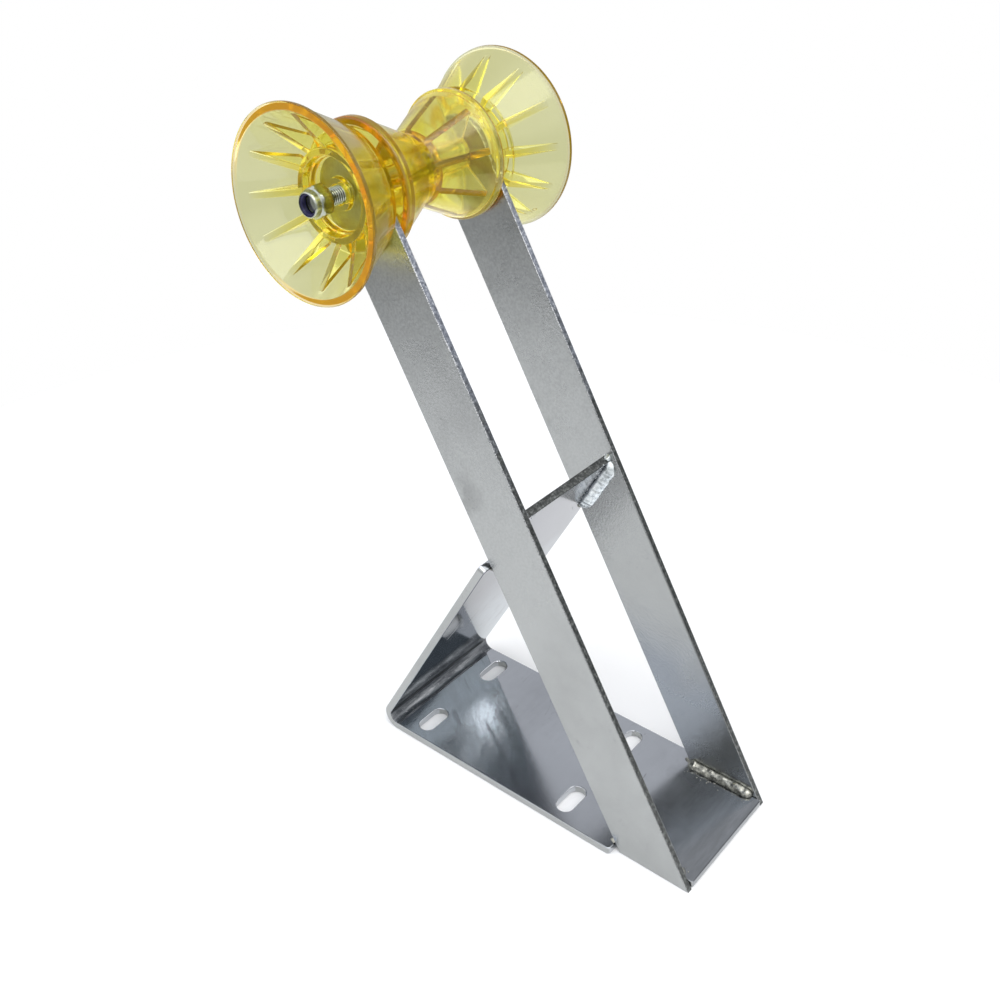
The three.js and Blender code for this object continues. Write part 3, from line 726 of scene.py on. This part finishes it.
def bell_mesh():
    wall = BELL_WALL * math.hypot(1, BELL_SLOPE)
    L, F = BELL_LEN, BELL_FLOOR

    def inner(t):
        """Inside radius of the wall, t from the bell's small end."""
        return BELL_SMALL_R + BELL_SLOPE * t - wall

    profile = rounded([
        (0, BORE_R, 0.5), (0, BELL_SMALL_R, 1.4), (L - 2.9, BELL_RIM_R - 1.6, 0.4),
        (L - 2.5, BELL_RIM_R - 0.5, 0.3), (L, BELL_RIM_R - 0.1, 0.7),
        (L, inner(L) + 0.3, 1.3), (F, inner(F), 2.2),
        (F, BELL_HUB_R + 0.4, 1.4), (BELL_HUB_H, BELL_HUB_R, 0.9),
        (BELL_HUB_H, BELL_HUB_BORE_R + 0.9, 0.8), (F + 4.4, BELL_HUB_BORE_R, 0.3),
        (F + 3.6, BELL_HUB_BORE_R - 0.9, 0.3), (F, BELL_HUB_BORE_R - 1.1, 1.2),
        (F, BELL_BOSS_R + 0.3, 1.0), (BELL_BOSS_H, BELL_BOSS_R, 0.7), (BELL_BOSS_H, BORE_R, 0.6),
    ])
    bm = bmesh.new()
    lathe(bm, profile, 192)
    body = to_mesh(bm, "bell")
    tip = L - 6.0
    rib = [(F - 1.5, BELL_HUB_R - 2.2), (BELL_HUB_H - 1.0, BELL_HUB_R - 2.2),
           (BELL_HUB_H - 1.0, BELL_HUB_R - 0.6), (tip, inner(tip)), (tip + 1, inner(tip) + 2.4),
           (F - 1.5, inner(F) + 1.6)]
    return union(body, [rib_mesh(rib, BELL_RIBS, BELL_RIB_W, BELL_RIB_TURN)], "bell")


def spool_mesh():
    rim_x = SPOOL_HALF - SPOOL_RIM_W
    slope = (SPOOL_RIM_R - 1.4 - SPOOL_NECK_R) / rim_x
    wall = SPOOL_WALL * math.hypot(1, slope)
    H, W = SPOOL_HALF, SPOOL_WEB

    def inner(x):
        """Inside radius of the wall, x from the middle."""
        return SPOOL_NECK_R + slope * x - wall

    half = [
        (H, BORE_R, 0.5), (H, SPOOL_HUB_R, 0.6), (W, SPOOL_HUB_R + 0.8, 2.0), (W, inner(W), 2.0),
        (rim_x, inner(rim_x), 3.0), (H, inner(rim_x) + 2.2, 0.8), (H, SPOOL_RIM_R, 1.9),
        (rim_x + 0.6, SPOOL_RIM_R, 1.5), (rim_x - 0.5, SPOOL_RIM_R - 1.7, 1.2),
        (1.9, SPOOL_NECK_R + slope * 1.9, 0.8), (1.3, SPOOL_NECK_R + 0.5, 0.3),
    ]
    profile = rounded(half + [(-x, r, c) for x, r, c in reversed(half)])
    bm = bmesh.new()
    lathe(bm, profile, 192)
    body = to_mesh(bm, "spool")
    tip = H - 7
    rib = [(W - 1.5, SPOOL_HUB_R - 2.6), (H - 3, SPOOL_HUB_R - 2.6), (H - 3, SPOOL_HUB_R + 0.4),
           (tip, inner(tip)), (tip, inner(tip) + 2.2), (W - 1.5, inner(W) + 1.2)]
    mirrored = [(-x, r) for x, r in reversed(rib)]
    return union(body, [rib_mesh(rib, SPOOL_RIBS, SPOOL_RIB_W, SPOOL_RIB_TURN),
                        rib_mesh(mirrored, SPOOL_RIBS, SPOOL_RIB_W, SPOOL_RIB_TURN)], "spool")


def rollers():
    bell = bell_mesh()
    left = bell.copy()
    bell.transform(Matrix.Translation((BELL_X, AXIS.y, AXIS.z)))
    left.transform(Matrix.Translation((-BELL_X, AXIS.y, AXIS.z)) @ Matrix.Scale(-1, 4, (1, 0, 0)))
    left.flip_normals()
    new_object("bell_right_moulding", bell, [MAT_AMBER], "bell_right", "amber", "end_bell_right",
               smooth=30)
    new_object("bell_left_moulding", left, [MAT_AMBER], "bell_left", "amber", "end_bell_left",
               smooth=30)
    spool = spool_mesh()
    spool.transform(Matrix.Translation((0, AXIS.y, AXIS.z)))
    new_object("spool_moulding", spool, [MAT_AMBER], "spool", "amber", "center_roller", smooth=30)


# ---- bolt and lock nut -------------------------------------------------------------------------
def hexagon(limit):
    """Radius of the hexagon at an angle, with its corners turned down to `limit`."""

    def radius(angle):
        a = (angle + math.pi / 6) % (math.pi / 3) - math.pi / 6
        return min(HEX_AF / 2 / math.cos(a), limit)

    return radius


def on_axle(name, bm, materials, slot, node, smooth):
    """A piece of the axle, made about the X axis and moved to the bolt's axis."""
    bm.transform(Matrix.Translation((0, AXIS.y, AXIS.z)))
    new_object(name, to_mesh(bm, name), materials, "axle", slot, node, smooth=smooth)


def thread(x, tip, end):
    """Radius of the thread at x and an angle, leading in at the tip and fading out at the end."""
    lead = min(1.0, (x - tip) / 1.6)
    fade = min(1.0, max(0.0, (end - x) / 2.5))

    def radius(angle):
        phase = (x / THREAD_PITCH - angle / (2 * math.pi)) % 1.0
        depth = min(1.0, max(0.0, (abs(phase - 0.5) * 2 - 0.10) / 0.78))
        r = THREAD_ROOT_R + (BOLT_R - 0.05 - THREAD_ROOT_R) * (1 - depth)
        return min(r, THREAD_ROOT_R - 0.3 + lead * 1.3) * fade + SHANK_R * (1 - fade)

    return radius


def bolt():
    tip, seat = BOLT_UNDER_HEAD - BOLT_LEN, BOLT_UNDER_HEAD
    thread_end = tip + THREAD_LEN
    step = THREAD_PITCH / 10
    xs = [tip + step * i for i in range(int((thread_end - tip) / step) + 1)]
    shank = [(tip, THREAD_ROOT_R - 1.0)] + [(x, thread(x, tip, thread_end)) for x in xs]
    shank += [(x, SHANK_R) for x in (thread_end + 3, 0.0, 30.0, seat - 1.2)]
    shank.append((seat - 0.3, BOLT_R + 0.25))
    # washer face, then the hexagon with its corners turned off
    corner = HEX_AF / math.sqrt(3)
    top = seat + HEAD_H
    head = [
        (seat - 0.3, HEX_AF / 2 - 0.7), (seat, HEX_AF / 2 - 0.7), (seat, hexagon(corner - 0.5)),
        (seat + 0.5, hexagon(corner)), (top - 1.8, hexagon(corner)),
        (top - 1.2, hexagon(corner - 0.5)), (top - 0.5, hexagon(HEX_AF / 2 + 0.05)),
        (top, HEX_AF / 2 - 0.8), (top - 0.25, HEX_AF / 2 - 2.2),
    ]
    bm = bmesh.new()
    for levels, count in ((shank, 56), (head, 96)):
        rings = [ring(bm, x, radius, count) for x, radius in levels]
        skin(bm, rings)
        bm.faces.new(list(reversed(rings[0])))
        bm.faces.new(rings[-1])
    for f in bm.faces:
        c = f.calc_center_median()
        if tip + 0.5 < c.x < thread_end and math.hypot(c.y, c.z) < BOLT_R - 0.5:
            f.material_index = 1
    on_axle("bolt_threaded", bm, [MAT_ZINC, MAT_ROOT], "zinc", "axle_bolt", 32)


def lock_nut():
    corner = HEX_AF / math.sqrt(3)
    hex_end, end = NUT_X - NUT_HEX_H, NUT_X - NUT_H
    bore, lip = BOLT_R + 0.1, COLLAR_R - 1.35
    levels = [
        # bore and the face towards the bell
        (NUT_X - 1.0, bore), (NUT_X, bore + 0.9), (NUT_X, HEX_AF / 2 - 0.7),
        # hexagon
        (NUT_X - 0.4, hexagon(HEX_AF / 2 + 0.1)), (NUT_X - 1.3, hexagon(corner - 0.35)),
        (NUT_X - 2.0, hexagon(corner)), (hex_end + 2.0, hexagon(corner)),
        (hex_end + 1.2, hexagon(corner - 0.4)), (hex_end + 0.3, hexagon(HEX_AF / 2 + 0.1)),
        # collar, rolled over the nylon ring
        (hex_end, COLLAR_R + 0.55), (hex_end - 0.5, COLLAR_R + 0.12), (end + 2.2, COLLAR_R),
        (end + 1.3, COLLAR_R - 0.12), (end + 0.6, COLLAR_R - 0.40), (end + 0.15, COLLAR_R - 0.85),
        (end, COLLAR_R - 1.15), (end + 0.1, lip + 0.1), (end + 0.4, lip), (end + 0.9, lip + 0.1),
        # seat of the nylon ring
        (end + 0.9, COLLAR_R - 0.9), (hex_end - 0.4, COLLAR_R - 0.9), (hex_end - 0.4, bore),
    ]
    bm = bmesh.new()
    skin(bm, [ring(bm, x, radius, 96) for x, radius in levels], closed=True)
    on_axle("nyloc_nut", bm, [MAT_ZINC], "zinc", "lock_nut", 24)

    x0, x1 = end + 0.95, hex_end - 0.45
    bm = bmesh.new()
    lathe(bm, rounded([(x0, 5.75, 0.5), (x0, COLLAR_R - 1.0, 0.4), (x1, COLLAR_R - 1.0, 0.2),
                       (x1, 5.75, 0.2)]), 72)
    on_axle("nylon_locking_ring", bm, [MAT_NYLON], "nylon", "nut_insert", 30)


bent_plate()
arm(-1, "left")
arm(1, "right")
welds()
rollers()
bolt()
lock_nut()


# ---- floor, light and camera -------------------------------------------------------------------
FLOOR_R, FLOOR_Z = 0.86, -0.0002
BACKDROP = (1.0, 1.0, 1.0)
CEILING, SURROUND = (1.36, 1.37, 1.40), (0.58, 0.60, 0.60)
# what the metal and the clear rollers mirror: direction, angle of the full tone, angle where it
# has faded out, tone
STUDIO_ZONES = [
    ((-0.68, 0.60, -0.28), 12, 34, (0.44, 0.45, 0.46)),
    ((0.50, 0.52, 0.69), 22, 50, (0.58, 0.60, 0.64)),
    ((-0.60, 0.30, 0.76), 5, 20, (1.40, 1.52, 1.76)),
    ((0.66, -0.24, 0.71), 8, 18, (0.30, 0.31, 0.33)),
    ((0.62, -0.78, 0.02), 14, 30, (0.27, 0.285, 0.31)),
    ((0.54, -0.84, -0.10), 2.4, 6.4, (0.035, 0.038, 0.042)),
    ((0.562, -0.826, -0.056), 0.16, 0.34, (17.0, 16.6, 16.5)),
    ((0.557, -0.829, -0.045), 0.19, 0.40, (21.0, 20.5, 20.4)),
    ((0.552, -0.833, -0.034), 0.16, 0.34, (17.0, 16.6, 16.5)),
    ((0.530, -0.848, -0.025), 0.15, 0.30, (16.0, 15.6, 15.5)),
    ((0.516, -0.854, -0.058), 0.15, 0.30, (14.0, 13.7, 13.6)),
]


def floor():
    bm = bmesh.new()
    bmesh.ops.create_circle(bm, cap_ends=True, radius=FLOOR_R, segments=128)
    mesh = bpy.data.meshes.new("floor")
    bm.to_mesh(mesh)
    bm.free()
    m = Nodes("floor_paint")
    m.principled(Base_Color=(0.93, 0.93, 0.93, 1), Roughness=0.9)
    mesh.materials.append(m.mat)
    obj = linked("floor", mesh)
    obj.location.z = FLOOR_Z


def area(name, where, target, size, power):
    """A rectangular light that looks at `target`."""
    light = bpy.data.lights.new(name, "AREA")
    light.shape = "RECTANGLE"
    light.size, light.size_y = size
    light.energy = power
    obj = linked(name, light)
    obj.location = where
    obj.rotation_euler = (Vector(target) - Vector(where)).to_track_quat("-Z", "Y").to_euler()


def world():
    """A plain white backdrop to look at, and a soft studio with darker zones to be mirrored."""
    w = bpy.data.worlds.new("studio")
    bpy.context.scene.world = w
    m = Nodes(world=w)

    def ease(value, lo, hi):
        """0 to 1 between lo and hi, without a kink at either end."""
        return m.add("MapRange", {"Value": value, "From Min": lo, "From Max": hi},
                     interpolation_type="SMOOTHSTEP").outputs[0]

    ray = m.add("TexCoord").outputs["Generated"]
    up = m.add("SeparateXYZ", {0: ray}).outputs["Z"]
    studio = m.mix(ease(up, 0.0, 0.42), SURROUND, CEILING)
    for direction, inner, outer, tone in STUDIO_ZONES:
        dot = m.add("VectorMath", {0: ray, 1: Vector(direction).normalized()},
                    operation="DOT_PRODUCT").outputs["Value"]
        studio = m.mix(ease(dot, math.cos(rad(outer)), math.cos(rad(inner))), studio, tone)
    seen = m.add("LightPath").outputs["Is Camera Ray"]
    background = m.add("Background", {"Color": m.mix(seen, studio, BACKDROP)})
    m.put(m.out.inputs["Surface"], background)
    w.cycles.sampling_method = "MANUAL"
    w.cycles.sample_map_resolution = 2048


floor()
world()
area("key_top", (-0.5, -0.6, 2.0), (0, 0, 0.2), (1.4, 1.4), 16)

camera = bpy.data.cameras.new("camera")
camera.sensor_width, camera.lens = 36.0, 42.19
camera.clip_start, camera.clip_end = 0.01, 50.0
cam = linked("camera", camera)
cam.location = (-0.5520, -0.4274, 0.6692)
cam.rotation_euler = (rad(57.59), rad(0.61), rad(-50.85))
bpy.context.scene.camera = cam
bpy.context.scene.view_settings.view_transform = "Standard"
